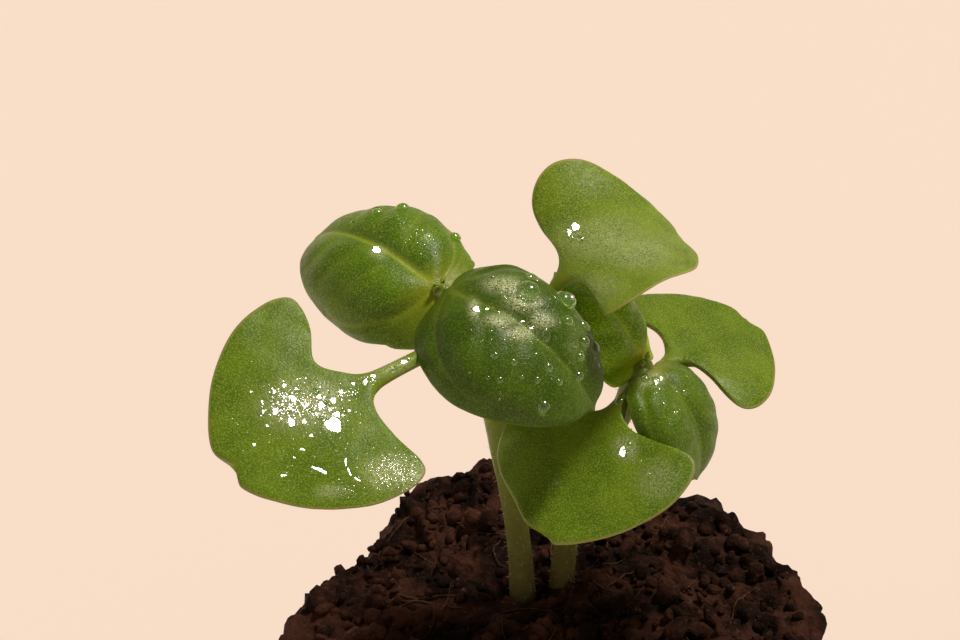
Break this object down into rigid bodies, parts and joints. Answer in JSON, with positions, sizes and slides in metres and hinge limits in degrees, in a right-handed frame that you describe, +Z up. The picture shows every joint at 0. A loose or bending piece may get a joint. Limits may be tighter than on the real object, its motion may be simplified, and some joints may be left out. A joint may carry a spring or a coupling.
{
  "type": "basil microgreens tray",
  "caption": "Young basil seedlings with domed true leaves and flat seed leaves, growing in a dark starter plug that stands in a small square tray.",
  "frame": {"origin": "middle of the tray's flat underside, on the surface it stands on", "axes": "+Z up along the plants; the picture looks along +Y and down, with +X to its right"},
  "size_m": [0.06, 0.06, 0.0737],
  "materials": {
    "tray": "satin moulded black plastic",
    "plug": "damp dark brown growing medium, coarse and matte",
    "stem": "pale green, translucent, finely hairy",
    "seed_leaf": "mid green, finely pebbled, soft sheen, wet in places",
    "true_leaf": "dark green, domed and veined, soft gloss"
  },
  "bodies": {
    "root": {"tray": "tray", "growing_plug": "plug", "stem_a": "stem", "stem_b": "stem", "seed_leaf_a_front": "seed_leaf", "seed_leaf_a_back": "seed_leaf", "seed_leaf_b_front": "seed_leaf", "seed_leaf_b_back": "seed_leaf", "true_leaf_a_front": "true_leaf", "true_leaf_a_back": "true_leaf", "true_leaf_b_front": "true_leaf", "true_leaf_b_back": "true_leaf"}
  },
  "joints": []
}
